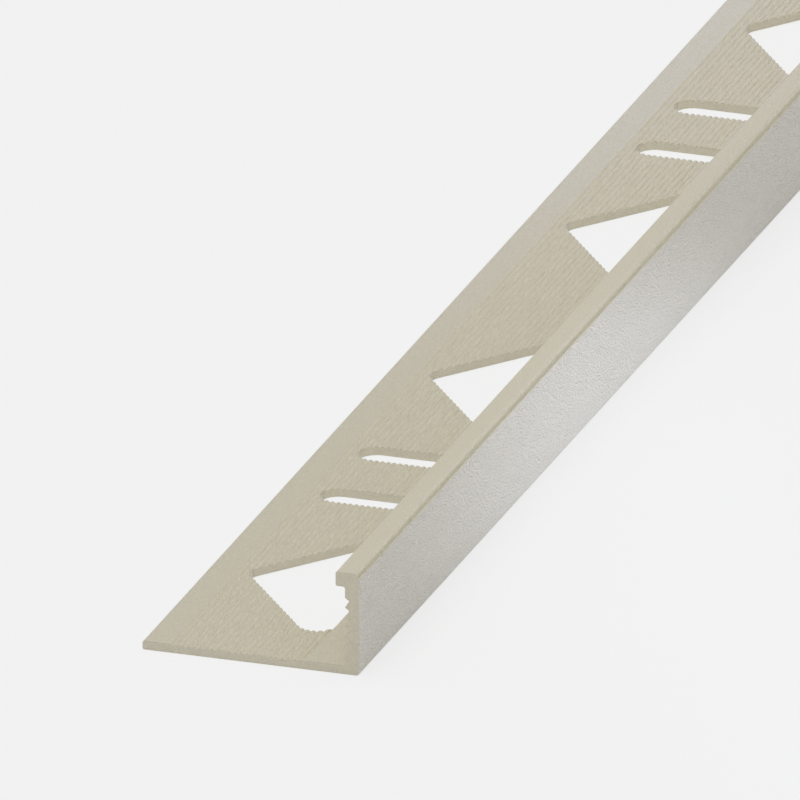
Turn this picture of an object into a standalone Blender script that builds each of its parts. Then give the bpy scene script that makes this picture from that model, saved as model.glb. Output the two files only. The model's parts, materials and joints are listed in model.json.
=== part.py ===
"""Aluminium edging angle: one extruded bar with a lipped, toothed wall and a punched anchor leg.

The bar lies on its leg. It runs along Y, its leg lies across X with the wall at +X, and Z is up.
The origin is under the middle of the bar.
"""

import math

import bmesh
import bpy
from mathutils import Vector

# Size of the bar, in metres
LENGTH = 1.0
LEG_WIDTH = 0.023
HEIGHT = 0.011
LEG_THICKNESS = 0.00095
WALL_THICKNESS = 0.0015
LIP_WIDTH = 0.0025
LIP_THICKNESS = 0.00155

# Rounding of the section's edges, as radii
TOP_EDGE_RADIUS = 0.0007
HEEL_RADIUS = 0.0003
LEG_EDGE_RADIUS = 0.00025
LIP_EDGE_RADIUS = 0.0002
INNER_FILLET_RADIUS = 0.00025

# Saw teeth on the inner side of the wall, which key it into the mortar
TOOTH_PITCH = 0.00105
TOOTH_DEPTH = 0.00045
TOOTH_TOP_FLANK_HEIGHT = 0.000335
PLAIN_WALL_OVER_LEG = 0.00102
PLAIN_WALL_UNDER_LIP = 0.0011

# Punching of the leg: groups of two triangles with a pair of slots between them.
# The triangles are given to their sharp corners, before the rounding.
GROUP_PITCH = 0.1
TRIANGLE_OFFSET = 0.0285
SLOT_OFFSET = 0.006
PUNCH_TO_OUTER_FACE = 0.0058
TRIANGLE_LENGTH = 0.0346
TRIANGLE_TIP_TO_LEG_EDGE = 0.00375
TRIANGLE_CORNER_RADIUS = 0.002
SLOT_WIDTH = 0.0038
SLOT_TO_LEG_EDGE = 0.0042
PUNCH_OVERRUN = 0.001

# Finish and smoothness
ALUMINIUM_COLOUR = (0.50, 0.47, 0.38, 1.0)
ALUMINIUM_ROUGHNESS = 0.45
ARC_STEP = math.radians(15)
SMOOTH_LIMIT = math.radians(30)


def clear_scene():
    for scene_object in list(bpy.data.objects):
        bpy.data.objects.remove(scene_object, do_unlink=True)


def new_collection(name):
    collection = bpy.data.collections.new(name)
    bpy.context.scene.collection.children.link(collection)
    return collection


def arc(centre, radius, start, turn):
    """Points of an arc round centre, from the angle start on through the angle turn."""
    steps = max(2, math.ceil(abs(turn) / ARC_STEP - 0.01))
    angles = [start + turn * step / steps for step in range(steps + 1)]
    return [centre + radius * Vector((math.cos(a), math.sin(a))) for a in angles]


def rounded(corners):
    """Points of an outline given as (x, y, radius) corners, with an arc in each corner that has a radius."""
    points = []
    for index, (x, y, radius) in enumerate(corners):
        corner = Vector((x, y))
        if radius == 0:
            points.append(corner)
            continue
        to_last = (Vector(corners[index - 1][:2]) - corner).normalized()
        to_next = (Vector(corners[(index + 1) % len(corners)][:2]) - corner).normalized()
        half_angle = to_last.angle(to_next) / 2
        centre = corner + (to_last + to_next).normalized() * radius / math.sin(half_angle)
        first = corner + to_last * radius / math.tan(half_angle) - centre
        last = corner + to_next * radius / math.tan(half_angle) - centre
        start = math.atan2(first.y, first.x)
        turn = math.atan2(last.y, last.x) - start
        turn = (turn + math.pi) % math.tau - math.pi
        points += arc(centre, radius, start, turn)
    return points


def flat_solid(name, outline, thickness, rotation=(0, 0, 0)):
    """A closed mesh object: the outline filled in its own plane and given a thickness across it."""
    curve = bpy.data.curves.new(name, "CURVE")
    curve.dimensions = "2D"
    curve.fill_mode = "BOTH"
    curve.extrude = thickness / 2
    spline = curve.splines.new("POLY")
    spline.points.add(len(outline) - 1)
    for spline_point, point in zip(spline.points, outline):
        spline_point.co = (point.x, point.y, 0, 1)
    spline.use_cyclic_u = True

    guide = bpy.data.objects.new(f"{name}_outline", curve)
    guide.rotation_euler = rotation
    bpy.context.scene.collection.objects.link(guide)
    graph = bpy.context.evaluated_depsgraph_get()
    mesh = bpy.data.meshes.new_from_object(guide.evaluated_get(graph))
    mesh.name = name
    solid = bpy.data.objects.new(name, mesh)
    solid.matrix_world = guide.matrix_world
    bpy.data.objects.remove(guide, do_unlink=True)

    cap_weld = bmesh.new()
    cap_weld.from_mesh(mesh)
    bmesh.ops.remove_doubles(cap_weld, verts=cap_weld.verts, dist=1e-6)
    bmesh.ops.recalc_face_normals(cap_weld, faces=cap_weld.faces)
    cap_weld.to_mesh(mesh)
    cap_weld.free()
    return solid


def tooth_corners():
    """Corners of the wall's saw teeth, from the leg up: each tip is followed by the root above it."""
    tip_x = LEG_WIDTH / 2 - WALL_THICKNESS
    root_x = tip_x + TOOTH_DEPTH
    first_tip = LEG_THICKNESS + PLAIN_WALL_OVER_LEG
    last_tip_limit = HEIGHT - LIP_THICKNESS - PLAIN_WALL_UNDER_LIP
    tooth_count = int((last_tip_limit - first_tip) / TOOTH_PITCH)
    corners = [(tip_x, first_tip, 0)]
    for tooth in range(1, tooth_count + 1):
        next_tip = first_tip + tooth * TOOTH_PITCH
        corners.append((root_x, next_tip - TOOTH_TOP_FLANK_HEIGHT, 0))
        corners.append((tip_x, next_tip, 0))
    return corners


def section_outline():
    """Outline of the section across the bar, anticlockwise from the free edge of the leg."""
    leg_edge = -LEG_WIDTH / 2
    outer_face = LEG_WIDTH / 2
    wall_inside = outer_face - WALL_THICKNESS
    lip_edge = outer_face - LIP_WIDTH
    lip_underside = HEIGHT - LIP_THICKNESS
    return rounded(
        [
            (leg_edge, 0, LEG_EDGE_RADIUS),
            (outer_face, 0, HEEL_RADIUS),
            (outer_face, HEIGHT, TOP_EDGE_RADIUS),
            (lip_edge, HEIGHT, LIP_EDGE_RADIUS),
            (lip_edge, lip_underside, LIP_EDGE_RADIUS),
            (wall_inside, lip_underside, INNER_FILLET_RADIUS),
            *reversed(tooth_corners()),
            (wall_inside, LEG_THICKNESS, INNER_FILLET_RADIUS),
            (leg_edge, LEG_THICKNESS, LEG_EDGE_RADIUS),
        ]
    )


def triangle_outline():
    """Outline of a triangular hole: its tip points to the free edge and its long side lies along the wall."""
    tip = -LEG_WIDTH / 2 + TRIANGLE_TIP_TO_LEG_EDGE
    long_side = LEG_WIDTH / 2 - PUNCH_TO_OUTER_FACE
    half_length = TRIANGLE_LENGTH / 2
    return rounded(
        [
            (tip, 0, TRIANGLE_CORNER_RADIUS),
            (long_side, -half_length, TRIANGLE_CORNER_RADIUS),
            (long_side, half_length, TRIANGLE_CORNER_RADIUS),
        ]
    )


def slot_outline():
    """Outline of a slot across the leg, with half-round ends."""
    radius = SLOT_WIDTH / 2
    edge_end = Vector((-LEG_WIDTH / 2 + SLOT_TO_LEG_EDGE + radius, 0))
    wall_end = Vector((LEG_WIDTH / 2 - PUNCH_TO_OUTER_FACE - radius, 0))
    return [
        *arc(edge_end, radius, math.pi / 2, math.pi),
        *arc(wall_end, radius, -math.pi / 2, math.pi),
    ]


def group_centres():
    """Places along the bar of the whole punching groups that fit, centred on its length."""
    count = int(LENGTH / GROUP_PITCH + 0.001)
    first = -GROUP_PITCH * (count - 1) / 2
    return [first + GROUP_PITCH * group for group in range(count)]


def add_punches(collection, name, outline, offset):
    """One cutter on each side of every group's centre, offset along the bar."""
    punch_height = LEG_THICKNESS + 2 * PUNCH_OVERRUN
    pattern = flat_solid(name, outline, punch_height)
    for group, centre in enumerate(group_centres(), start=1):
        for side, place in (("near", centre - offset), ("far", centre + offset)):
            punch = bpy.data.objects.new(f"{name}_{group}_{side}", pattern.data)
            punch.location = (0, place, LEG_THICKNESS / 2)
            punch.display_type = "WIRE"
            punch.hide_render = True
            collection.objects.link(punch)
    bpy.data.objects.remove(pattern, do_unlink=True)


def aluminium():
    material = bpy.data.materials.new("champagne_aluminium")
    material.use_nodes = True
    shader = material.node_tree.nodes["Principled BSDF"]
    shader.inputs["Base Color"].default_value = ALUMINIUM_COLOUR
    shader.inputs["Metallic"].default_value = 1.0
    shader.inputs["Roughness"].default_value = ALUMINIUM_ROUGHNESS
    return material


def add_profile(collection, punches):
    """The extruded bar, with its leg punched by the cutters."""
    profile = flat_solid("angle_profile", section_outline(), LENGTH, (math.pi / 2, 0, 0))
    profile.data.materials.append(aluminium())
    profile.data.shade_smooth()
    profile.data.set_sharp_from_angle(angle=SMOOTH_LIMIT)
    collection.objects.link(profile)
    punching = profile.modifiers.new("punching", "BOOLEAN")
    punching.operation = "DIFFERENCE"
    punching.solver = "EXACT"
    punching.operand_type = "COLLECTION"
    punching.collection = punches


def main():
    clear_scene()
    bar = new_collection("angle_profile")
    punches = new_collection("punches")
    add_punches(punches, "triangle_punch", triangle_outline(), TRIANGLE_OFFSET)
    add_punches(punches, "slot_punch", slot_outline(), SLOT_OFFSET)
    add_profile(bar, punches)


main()
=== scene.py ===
"""Looks of the aluminium edging angle: grooved and punched bar of satin metal, floor, light and camera."""

import json
import math

import bmesh
import bpy
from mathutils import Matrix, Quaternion, Vector

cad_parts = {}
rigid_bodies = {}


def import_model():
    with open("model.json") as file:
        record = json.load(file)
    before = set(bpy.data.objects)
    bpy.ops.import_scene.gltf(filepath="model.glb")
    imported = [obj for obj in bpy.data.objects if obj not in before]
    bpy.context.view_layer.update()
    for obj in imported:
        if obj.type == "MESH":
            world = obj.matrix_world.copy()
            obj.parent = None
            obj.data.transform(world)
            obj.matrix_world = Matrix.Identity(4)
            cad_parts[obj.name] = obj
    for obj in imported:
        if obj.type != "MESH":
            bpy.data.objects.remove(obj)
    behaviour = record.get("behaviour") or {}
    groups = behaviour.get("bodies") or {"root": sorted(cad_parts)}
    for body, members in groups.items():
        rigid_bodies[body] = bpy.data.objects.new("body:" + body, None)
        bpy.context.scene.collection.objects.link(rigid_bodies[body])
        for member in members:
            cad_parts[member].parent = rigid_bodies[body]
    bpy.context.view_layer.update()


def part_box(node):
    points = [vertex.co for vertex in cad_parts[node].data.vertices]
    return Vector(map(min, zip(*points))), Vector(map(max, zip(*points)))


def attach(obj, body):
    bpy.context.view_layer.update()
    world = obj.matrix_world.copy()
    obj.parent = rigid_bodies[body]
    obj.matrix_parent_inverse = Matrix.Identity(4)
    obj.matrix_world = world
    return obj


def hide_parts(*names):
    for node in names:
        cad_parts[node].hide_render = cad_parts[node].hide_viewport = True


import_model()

NODE = "angle_profile"
LOW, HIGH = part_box(NODE)

# Section of the bar, in metres: X from the free edge of the leg, Z from its underside
LENGTH = HIGH[1] - LOW[1]
LEG_WIDTH = HIGH[0] - LOW[0]
HEIGHT = HIGH[2] - LOW[2]
LEG_THICKNESS = 0.00095
WALL_THICKNESS = 0.0015
LIP_WIDTH = 0.0025
LIP_THICKNESS = 0.00155
TOP_EDGE_RADIUS = 0.0007
HEEL_RADIUS = 0.0003
LEG_EDGE_RADIUS = 0.00025
LIP_EDGE_RADIUS = 0.0002
INNER_FILLET_RADIUS = 0.00025

# Saw teeth on the inner side of the wall
TOOTH_COUNT = 6
TOOTH_PITCH = 0.00105
TOOTH_DEPTH = 0.00045
TOOTH_TOP_FLANK_HEIGHT = 0.000335
FIRST_TOOTH_TIP = 0.00197

# Fine grooves along the top of the leg
GROOVE_COUNT = 23
GROOVE_PITCH = 0.000625
FIRST_GROOVE = 0.0033
GROOVE_WIDTH = 0.0004
GROOVE_DEPTH = 0.00016
GROOVE_ROOT_RADIUS = 0.00004

# Punched holes of the leg
GROUP_COUNT = 10
GROUP_PITCH = 0.1
TRIANGLE_OFFSET = 0.0285
TRIANGLE_LENGTH = 0.0346
TRIANGLE_TIP = 0.00375
TRIANGLE_CORNER_RADIUS = 0.002
SLOT_OFFSET = 0.006
SLOT_WIDTH = 0.0038
SLOT_START = 0.0042
PUNCH_END = 0.0172
PUNCH_OVERRUN = 0.001

# Smoothness of the arcs and of the shading. Edges flatter than the limit are shaded smooth.
SECTION_ARC_STEP = math.radians(9)
TRIANGLE_ARC_STEP = math.radians(4)
SLOT_ARC_STEP = math.radians(5)
ARC_STEP_TOLERANCE = 0.01
SMOOTH_LIMIT = math.radians(20)
FLAT_FACE_WEIGHT = 100
WELD_DISTANCE = 1e-6

# Camera: a parallel projection, so one scale holds over the whole picture
PICTURE_PIXELS = 800
PIXELS_PER_METRE = 9934
CAMERA_AZIMUTH = math.radians(18.54)
CAMERA_ELEVATION = math.radians(21.61)
HEEL_PIXEL = (359.1, 675.94)
CAMERA_DISTANCE = 1.5
CAMERA_CLIP = (0.01, 20)

# Satin champagne metal. Blends and normals are limits of one component of the surface's normal.
CHAMPAGNE = (0.546, 0.51, 0.404)
# The outer face's paler, more neutral colour is a painted sheen in place of the neutral reflection that it
# gives.
OUTER_FACE_PAINTED_SHEEN = (0.679, 0.651, 0.587)
OUTER_FACE_BLEND = (0.97, 0.999)
METALLIC = 0.25
ROUGHNESS = 0.45

# Rounded top edge of the outer face: how far down it reaches, its metallic and rougher share by Normal X,
# and colour tints by Normal X that set the painted brightness of its dark shaded band and paint a bluish
# highlight where it leaves the top
EDGE_REACH = 0.00084
EDGE_METALLIC = 0.97
EDGE_ROUGHNESS = 0.53
EDGE_SHARES = ((0.2, 0), (0.5, 0.875), (0.85, 1), (0.97, 1), (0.999, 0))
EDGE_PAINTED_LIGHT = (
    (0.2, (1, 1, 1)),
    (0.35, (1.1, 1.1, 1.18)),
    (0.5, (1.34, 1.34, 1.43)),
    (0.74, (1.39, 1.39, 1.4)),
    (0.88, (1.3, 1.3, 1.24)),
    (0.97, (1.26, 1.25, 1.23)),
    (0.999, (0.98, 0.97, 0.94)),
)

# Painted light and shade: the lip's top lighter, the grooves' flanks lighter or darker by side, corners and
# hollows lighter where ambient occlusion finds shade, and the triangles' slanted walls lighter
LIP_PAINTED_LIGHT = 1.055
LIP_NORMALS = (0.5, 0.95)
GROOVE_PAINTED_LIGHT = (0.963, 1.137)
GROOVE_SLOPE = 0.55
GROOVE_UPWARD = 0.5
GROOVE_TOP = 0.1 * GROOVE_DEPTH
CORNER_PAINTED_LIGHT = 1.55
CORNER_REACH = 0.006
CORNER_SAMPLES = 8
PUNCHED_PAINTED_LIGHT = 1.1
PUNCHED_NORMALS = (0.3, 0.8)

# Fine grain in colour and relief
GRAIN_SIZE = 0.00018
GRAIN_STRETCH = 2.6
GRAIN_DETAIL = 1
GRAIN_CONTRAST = 0.118
GRAIN_RELIEF = 0.00008
OUTER_FACE_RELIEF = 0.0003
RELIEF_BLEND = (0.995, 0.9999)

# Floor
FLOOR_SIZE = 12
FLOOR_COLOUR = (0.85, 0.85, 0.85, 1)
FLOOR_BRIGHTNESS = 0.873
FLOOR_SHADOW = 0.16

# Light. Azimuths and elevations are in degrees, and azimuth 0 is in front of the near end.
WORLD_LEVEL = 0.371
LIT_PLACE = Vector((0, LOW[1] + 0.1, 0))
SOFTBOXES = (
    {"name": "overhead", "azimuth": 0, "elevation": 88, "size": 1.4, "level": 0.605},
    {"name": "left", "azimuth": -90, "elevation": 50, "size": 1.2, "level": 0.156},
    {"name": "front", "azimuth": 0, "elevation": 40, "size": 1.2, "level": 0.22},
    {"name": "back", "azimuth": 160, "elevation": 45, "size": 1.2, "level": 0.068},
)
SOFTBOX_DISTANCE = 1.6
ACCENT = {
    "target": Vector((HIGH[0], LOW[1] + 0.08, LOW[2] - 0.0021)),
    "azimuth": 30,
    "elevation": 4,
    "distance": 0.5,
    "cone": math.radians(1.5),
    "level": 2.92,
    "radius": 0.0147,
    "colour": (0.76, 0.82, 1.0),
}
ACCENT_STRETCH = 5.6
ACCENT_ROLL = math.radians(-27)
RIM = {
    "target": Vector((LOW[0] - 0.02, LOW[1] + 0.22, LOW[2])),
    "azimuth": 198,
    "elevation": 22,
    "distance": 1.5,
    "cone": math.radians(4.2),
    "level": 0.06,
    "radius": 0.02,
    "colour": (0.45, 0.5, 0.9),
}


def arc(centre, radius, start, turn, arc_step):
    """Points of an arc round centre, from the angle start on through the angle turn."""
    steps = max(2, math.ceil(abs(turn) / arc_step - ARC_STEP_TOLERANCE))
    angles = [start + turn * step / steps for step in range(steps + 1)]
    return [centre + radius * Vector((math.cos(a), math.sin(a))) for a in angles]


def rounded(corners, arc_step):
    """Points of an outline given as (x, y, radius) corners, with an arc where the radius isn't 0."""
    points = []
    for index, (x, y, radius) in enumerate(corners):
        corner = Vector((x, y))
        if radius == 0:
            points.append(corner)
            continue
        to_last = (Vector(corners[index - 1][:2]) - corner).normalized()
        to_next = (Vector(corners[(index + 1) % len(corners)][:2]) - corner).normalized()
        half_angle = to_last.angle(to_next) / 2
        centre = corner + (to_last + to_next).normalized() * radius / math.sin(half_angle)
        first = corner + to_last * radius / math.tan(half_angle) - centre
        last = corner + to_next * radius / math.tan(half_angle) - centre
        start = math.atan2(first.y, first.x)
        turn = math.atan2(last.y, last.x) - start
        turn = (turn + math.pi) % math.tau - math.pi
        points += arc(centre, radius, start, turn, arc_step)
    return points


def extruded(name, outline, thickness):
    """A closed mesh of the outline in X and Y, with a thickness along Z that is centred on its plane."""
    curve = bpy.data.curves.new(name, "CURVE")
    curve.dimensions = "2D"
    curve.fill_mode = "BOTH"
    curve.extrude = thickness / 2
    spline = curve.splines.new("POLY")
    spline.points.add(len(outline) - 1)
    for spline_point, point in zip(spline.points, outline):
        spline_point.co = (point.x, point.y, 0, 1)
    spline.use_cyclic_u = True
    guide = bpy.data.objects.new(name, curve)
    bpy.context.scene.collection.objects.link(guide)
    graph = bpy.context.evaluated_depsgraph_get()
    mesh = bpy.data.meshes.new_from_object(guide.evaluated_get(graph))
    bpy.data.objects.remove(guide, do_unlink=True)
    welded = bmesh.new()
    welded.from_mesh(mesh)
    bmesh.ops.remove_doubles(welded, verts=welded.verts, dist=WELD_DISTANCE)
    bmesh.ops.recalc_face_normals(welded, faces=welded.faces)
    welded.to_mesh(mesh)
    welded.free()
    return mesh


def tooth_corners():
    """Corners of the saw teeth, from the top one down."""
    tip_x = LEG_WIDTH - WALL_THICKNESS
    corners = []
    for tooth in range(TOOTH_COUNT, 0, -1):
        tip_z = FIRST_TOOTH_TIP + tooth * TOOTH_PITCH
        corners.append((tip_x, tip_z, 0))
        corners.append((tip_x + TOOTH_DEPTH, tip_z - TOOTH_TOP_FLANK_HEIGHT, 0))
    corners.append((tip_x, FIRST_TOOTH_TIP, 0))
    return corners


def groove_corners():
    """Corners of the V grooves, from the one by the wall to the one by the free edge."""
    corners = []
    for groove in reversed(range(GROOVE_COUNT)):
        root_x = FIRST_GROOVE + groove * GROOVE_PITCH
        corners.append((root_x + GROOVE_WIDTH / 2, LEG_THICKNESS, 0))
        corners.append((root_x, LEG_THICKNESS - GROOVE_DEPTH, GROOVE_ROOT_RADIUS))
        corners.append((root_x - GROOVE_WIDTH / 2, LEG_THICKNESS, 0))
    return corners


def section_outline():
    """Outline of the section across the bar, anticlockwise from the free edge of the leg."""
    wall_inside = LEG_WIDTH - WALL_THICKNESS
    lip_edge = LEG_WIDTH - LIP_WIDTH
    lip_underside = HEIGHT - LIP_THICKNESS
    corners = [
        (0, 0, LEG_EDGE_RADIUS),
        (LEG_WIDTH, 0, HEEL_RADIUS),
        (LEG_WIDTH, HEIGHT, TOP_EDGE_RADIUS),
        (lip_edge, HEIGHT, LIP_EDGE_RADIUS),
        (lip_edge, lip_underside, LIP_EDGE_RADIUS),
        (wall_inside, lip_underside, INNER_FILLET_RADIUS),
        *tooth_corners(),
        (wall_inside, LEG_THICKNESS, INNER_FILLET_RADIUS),
        *groove_corners(),
        (0, LEG_THICKNESS, LEG_EDGE_RADIUS),
    ]
    return rounded(corners, SECTION_ARC_STEP)


def triangle_outline():
    """Outline of a triangular hole, with its tip to the free edge and its long side along the wall."""
    corners = [
        (TRIANGLE_TIP, 0, TRIANGLE_CORNER_RADIUS),
        (PUNCH_END, -TRIANGLE_LENGTH / 2, TRIANGLE_CORNER_RADIUS),
        (PUNCH_END, TRIANGLE_LENGTH / 2, TRIANGLE_CORNER_RADIUS),
    ]
    return rounded(corners, TRIANGLE_ARC_STEP)


def slot_outline():
    """Outline of a slot across the leg, with half-round ends."""
    radius = SLOT_WIDTH / 2
    edge_end = Vector((SLOT_START + radius, 0))
    wall_end = Vector((PUNCH_END - radius, 0))
    return [
        *arc(edge_end, radius, math.pi / 2, math.pi, SLOT_ARC_STEP),
        *arc(wall_end, radius, -math.pi / 2, math.pi, SLOT_ARC_STEP),
    ]


def punch_collection():
    """The cutters of all the holes, in a collection of their own."""
    collection = bpy.data.collections.new("punches")
    bpy.context.scene.collection.children.link(collection)
    first_group = (LOW[1] + HIGH[1]) / 2 - GROUP_PITCH * (GROUP_COUNT - 1) / 2
    for name, outline, offset in (
        ("triangle", triangle_outline(), TRIANGLE_OFFSET),
        ("slot", slot_outline(), SLOT_OFFSET),
    ):
        mesh = extruded(name, outline, LEG_THICKNESS + 2 * PUNCH_OVERRUN)
        for group in range(GROUP_COUNT):
            for side in (-1, 1):
                punch = bpy.data.objects.new(name, mesh)
                place = first_group + group * GROUP_PITCH + side * offset
                punch.location = (LOW[0], place, LOW[2] + LEG_THICKNESS / 2)
                collection.objects.link(punch)
    return collection


def punched_bar():
    """The whole bar as one mesh in the CAD node's place, with its grooves and holes cut."""
    mesh = extruded("champagne_profile", section_outline(), LENGTH)
    for vertex in mesh.vertices:
        across, up, along = vertex.co
        vertex.co = (LOW[0] + across, (LOW[1] + HIGH[1]) / 2 - along, LOW[2] + up)
    bar = bpy.data.objects.new("champagne_profile", mesh)
    bpy.context.scene.collection.objects.link(bar)
    punches = punch_collection()
    punching = bar.modifiers.new("punching", "BOOLEAN")
    punching.operand_type = "COLLECTION"
    punching.collection = punches
    punching.solver = "EXACT"
    graph = bpy.context.evaluated_depsgraph_get()
    cut = bpy.data.meshes.new_from_object(bar.evaluated_get(graph))
    bar.modifiers.clear()
    cut.shade_smooth()
    cut.set_sharp_from_angle(angle=SMOOTH_LIMIT)
    bar.data = cut
    flat_faces = bar.modifiers.new("flat_faces", "WEIGHTED_NORMAL")
    flat_faces.keep_sharp = True
    flat_faces.weight = FLAT_FACE_WEIGHT
    for punch in list(punches.objects):
        bpy.data.objects.remove(punch, do_unlink=True)
    bpy.data.collections.remove(punches)
    return bar


class Graph:
    """Adds nodes to a material. Most calls give the new node's output, so that they read as a formula."""

    def __init__(self, material):
        material.use_nodes = True
        self.nodes = material.node_tree.nodes
        self.links = material.node_tree.links

    def feed(self, socket, value):
        """Link the socket to an output, or set it to a plain value."""
        if isinstance(value, bpy.types.NodeSocket):
            self.links.new(value, socket)
        else:
            socket.default_value = value

    def node(self, kind, inputs, **settings):
        node = self.nodes.new(kind)
        for name, value in settings.items():
            setattr(node, name, value)
        for socket, value in inputs.items():
            self.feed(node.inputs[socket], value)
        return node

    def math(self, operation, first, second):
        return self.node("ShaderNodeMath", {0: first, 1: second}, operation=operation).outputs["Value"]

    def split(self, vector):
        node = self.node("ShaderNodeSeparateXYZ", {"Vector": vector})
        return node.outputs["X"], node.outputs["Y"], node.outputs["Z"]

    def remap(self, value, source, target, clamp=True):
        """The value moved from the source range to the target range."""
        ranges = {"From Min": source[0], "From Max": source[1], "To Min": target[0], "To Max": target[1]}
        return self.node("ShaderNodeMapRange", {"Value": value, **ranges}, clamp=clamp).outputs["Result"]

    def mix(self, factor, first, second):
        inputs = {"Factor": factor, "A": first, "B": second}
        return self.node("ShaderNodeMix", inputs, data_type="FLOAT").outputs["Result"]

    def ramp(self, value, stops):
        """A colour ramp through (position, colour) stops, none of them at 0 or 1."""
        node = self.node("ShaderNodeValToRGB", {"Fac": value})
        elements = node.color_ramp.elements
        for position, colour in stops:
            elements.new(position).color = (*colour, 1)
        elements.remove(elements[0])
        elements.remove(elements[-1])
        return node.outputs["Color"]


def rounded_edge(graph, facing_x, height):
    """Share of the edge's metallic, rougher surface, and a colour tint that paints the shade of its dark
    band and a bluish highlight. Away from the edge they are 0 and white.
    """
    at_top = graph.math("GREATER_THAN", height, LOW[2] + HEIGHT - EDGE_REACH)
    slope = graph.math("MULTIPLY", at_top, facing_x)
    share = graph.ramp(slope, [(position, (value, value, value)) for position, value in EDGE_SHARES])
    return share, graph.ramp(slope, EDGE_PAINTED_LIGHT)


def lip_painted_light(graph, facing_z, height):
    """Painted light: the lip's upper face is made lighter."""
    by_slope = graph.remap(facing_z, LIP_NORMALS, (1, LIP_PAINTED_LIGHT))
    at_top = graph.math("GREATER_THAN", height, LOW[2] + HEIGHT - TOP_EDGE_RADIUS)
    return graph.mix(at_top, 1, by_slope)


def hollow_painted_light(graph, facing_x, facing_z, height):
    """Painted light and shade: the grooves' flanks lighter or darker by slope, and other corners and
    hollows painted lighter where ambient occlusion finds shade.
    """
    by_slope = graph.remap(facing_x, (-GROOVE_SLOPE, GROOVE_SLOPE), GROOVE_PAINTED_LIGHT)
    upward = graph.math("GREATER_THAN", facing_z, GROOVE_UPWARD)
    sunk = graph.math("LESS_THAN", height, LOW[2] + LEG_THICKNESS - GROOVE_TOP)
    # Corners and hollows are painted lighter where the occlusion finds shade.
    occlusion = graph.node(
        "ShaderNodeAmbientOcclusion",
        {"Distance": CORNER_REACH},
        only_local=True,
        samples=CORNER_SAMPLES,
    )
    by_occlusion = graph.remap(occlusion.outputs["AO"], (0, 1), (CORNER_PAINTED_LIGHT, 1))
    return graph.mix(graph.math("MULTIPLY", upward, sunk), by_occlusion, by_slope)


def punched_painted_light(graph, facing_x, facing_y):
    """Painted light: the triangles' slanted walls are painted a little lighter than the slots' walls."""
    steep_y, full_x = PUNCHED_NORMALS
    by_slope = graph.remap(facing_x, (0, full_x), (1, PUNCHED_PAINTED_LIGHT))
    crosswise = graph.math("GREATER_THAN", graph.math("ABSOLUTE", facing_y, 0), steep_y)
    return graph.mix(crosswise, 1, by_slope)


def satin_aluminium():
    """Matt champagne metal with a fine grain in its colour and relief. The outer face's paler, more neutral
    colour is a painted sheen, and the edge, lip, grooves, hollows and punched walls carry painted light and
    shade.
    """
    material = bpy.data.materials.new("champagne_satin")
    graph = Graph(material)
    geometry = graph.node("ShaderNodeNewGeometry", {})
    facing_x, facing_y, facing_z = graph.split(geometry.outputs["Normal"])
    height = graph.split(geometry.outputs["Position"])[2]
    blend_start, blend_end = OUTER_FACE_BLEND
    # Champagne blends into the outer face's painted sheen by Normal X.
    colour_and_painted_sheen = graph.ramp(facing_x, [(blend_start, CHAMPAGNE), (blend_end, OUTER_FACE_PAINTED_SHEEN)])
    # The edge's tint paints the shade of its dark band and a bluish highlight.
    edge_share, edge_painted_light = rounded_edge(graph, facing_x, height)
    edged = graph.node("ShaderNodeVectorMath", {0: colour_and_painted_sheen, 1: edge_painted_light}, operation="MULTIPLY")

    place = graph.node("ShaderNodeTexCoord", {}).outputs["Object"]
    stretched = graph.node("ShaderNodeMapping", {"Vector": place, "Scale": (1, 1 / GRAIN_STRETCH, 1)})
    grain = graph.node(
        "ShaderNodeTexNoise",
        {"Vector": stretched.outputs["Vector"], "Scale": 1 / GRAIN_SIZE, "Detail": GRAIN_DETAIL},
    ).outputs["Fac"]
    tint = graph.remap(grain, (0, 1), (1 - GRAIN_CONTRAST, 1 + GRAIN_CONTRAST), clamp=False)
    # The grain's tint is multiplied by the painted light and shade of the lip, the grooves, the hollows and
    # the punched walls.
    for part in (
        lip_painted_light(graph, facing_z, height),
        hollow_painted_light(graph, facing_x, facing_z, height),
        punched_painted_light(graph, facing_x, facing_y),
    ):
        tint = graph.math("MULTIPLY", tint, part)
    colour = graph.node(
        "ShaderNodeVectorMath", {0: edged.outputs["Vector"], "Scale": tint}, operation="SCALE"
    )
    depth = graph.remap(facing_x, RELIEF_BLEND, (GRAIN_RELIEF, OUTER_FACE_RELIEF))
    relief = graph.node("ShaderNodeBump", {"Height": grain, "Distance": depth})

    shader = graph.nodes["Principled BSDF"]
    graph.feed(shader.inputs["Metallic"], graph.mix(edge_share, METALLIC, EDGE_METALLIC))
    graph.feed(shader.inputs["Roughness"], graph.mix(edge_share, ROUGHNESS, EDGE_ROUGHNESS))
    graph.feed(shader.inputs["Base Color"], colour.outputs["Vector"])
    graph.feed(shader.inputs["Normal"], relief.outputs["Normal"])
    return material


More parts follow.
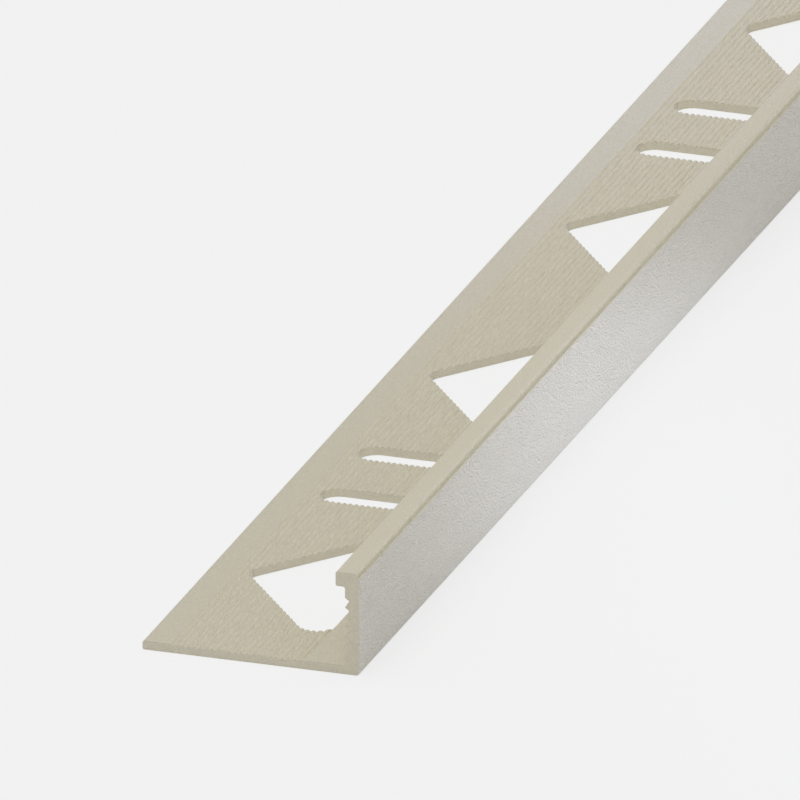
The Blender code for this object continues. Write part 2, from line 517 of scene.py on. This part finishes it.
def pale_floor_material():
    """White to the camera and in reflections, with part of the light and shadow that falls on it."""
    material = bpy.data.materials.new("floor")
    graph = Graph(material)
    lit = graph.nodes["Principled BSDF"]
    graph.feed(lit.inputs["Base Color"], FLOOR_COLOUR)
    graph.feed(lit.inputs["Roughness"], 1)
    graph.feed(lit.inputs["Specular IOR Level"], 0)
    plain = graph.node("ShaderNodeEmission", {"Strength": FLOOR_BRIGHTNESS})
    rays = graph.node("ShaderNodeLightPath", {}).outputs
    seen = graph.math("MAXIMUM", rays["Is Camera Ray"], rays["Is Glossy Ray"])
    seen = graph.math("MAXIMUM", seen, rays["Is Transmission Ray"])
    share = graph.math("MULTIPLY", seen, 1 - FLOOR_SHADOW)
    mix = graph.node(
        "ShaderNodeMixShader",
        {"Fac": share, 1: lit.outputs["BSDF"], 2: plain.outputs["Emission"]},
    )
    graph.feed(graph.nodes["Material Output"].inputs["Surface"], mix.outputs["Shader"])
    return material


def add_floor():
    """A wide square floor under the bar, at height 0."""
    mesh = bpy.data.meshes.new("floor")
    half = FLOOR_SIZE / 2
    corners = [(-half, -half, 0), (half, -half, 0), (half, half, 0), (-half, half, 0)]
    mesh.from_pydata(corners, [], [(0, 1, 2, 3)])
    floor = bpy.data.objects.new("floor", mesh)
    bpy.context.scene.collection.objects.link(floor)
    mesh.materials.append(pale_floor_material())


def add_camera():
    """A camera that shows the heel's near corner at its pixel of the picture."""
    data = bpy.data.cameras.new("camera")
    data.type = "ORTHO"
    data.ortho_scale = PICTURE_PIXELS / PIXELS_PER_METRE
    data.clip_start, data.clip_end = CAMERA_CLIP
    camera = bpy.data.objects.new("camera", data)
    bpy.context.scene.collection.objects.link(camera)
    a, e = CAMERA_AZIMUTH, CAMERA_ELEVATION
    back = Vector((math.sin(a) * math.cos(e), -math.cos(a) * math.cos(e), math.sin(e)))
    right = Vector((math.cos(a), math.sin(a), 0))
    up = back.cross(right)
    heel = Vector((HIGH[0], LOW[1], LOW[2]))
    middle = PICTURE_PIXELS / 2
    centre = heel + right * (middle - HEEL_PIXEL[0]) / PIXELS_PER_METRE
    centre += up * (HEEL_PIXEL[1] - middle) / PIXELS_PER_METRE
    camera.location = centre + back * CAMERA_DISTANCE
    camera.rotation_mode = "QUATERNION"
    camera.rotation_quaternion = (-back).to_track_quat("-Z", "Y")
    bpy.context.scene.camera = camera


def lamp_towards(data, target, azimuth, elevation, distance):
    """Place a lamp at a distance from the target, in a direction in degrees, and aim it at the target."""
    lamp = bpy.data.objects.new(data.name, data)
    bpy.context.scene.collection.objects.link(lamp)
    a, e = math.radians(azimuth), math.radians(elevation)
    towards = Vector((math.sin(a) * math.cos(e), -math.cos(a) * math.cos(e), math.sin(e)))
    lamp.location = target + towards * distance
    lamp.rotation_mode = "QUATERNION"
    lamp.rotation_quaternion = (-towards).to_track_quat("-Z", "Y")
    return lamp


def softbox(name, azimuth, elevation, size, level):
    """A square lamp aimed at the near part of the bar.

    The level is the brightness that it gives there to a white matt surface facing it.
    """
    data = bpy.data.lights.new(name, "AREA")
    data.size = size
    data.energy = level * math.pi**2 * SOFTBOX_DISTANCE**2
    lamp_towards(data, LIT_PLACE, azimuth, elevation, SOFTBOX_DISTANCE)


def spot(name, target, azimuth, elevation, distance, cone, level, radius, colour):
    """A lamp with a narrow cone that fades to its rim. The level is the brightness in the cone's middle."""
    data = bpy.data.lights.new(name, "SPOT")
    data.spot_size = cone
    data.spot_blend = 1
    data.shadow_soft_size = radius
    data.color = colour
    data.energy = 4 * level * math.pi**2 * distance**2
    return lamp_towards(data, target, azimuth, elevation, distance)


def add_light():
    """An even world, four soft lamps, an oval accent on the outer face and a faint rim light."""
    world = bpy.data.worlds.new("world")
    world.use_nodes = True
    sky = world.node_tree.nodes["Background"]
    sky.inputs["Color"].default_value = (1, 1, 1, 1)
    sky.inputs["Strength"].default_value = WORLD_LEVEL
    bpy.context.scene.world = world
    for lamp in SOFTBOXES:
        softbox(**lamp)
    accent = spot("accent", **ACCENT)
    accent.rotation_quaternion @= Quaternion((0, 0, 1), ACCENT_ROLL)
    accent.scale = (ACCENT_STRETCH, 1, 1)
    spot("rim", **RIM)


bar = punched_bar()
bar.data.materials.append(satin_aluminium())
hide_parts(NODE)
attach(bar, "root")
add_floor()
add_light()
add_camera()
bpy.context.scene.view_settings.view_transform = "Standard"
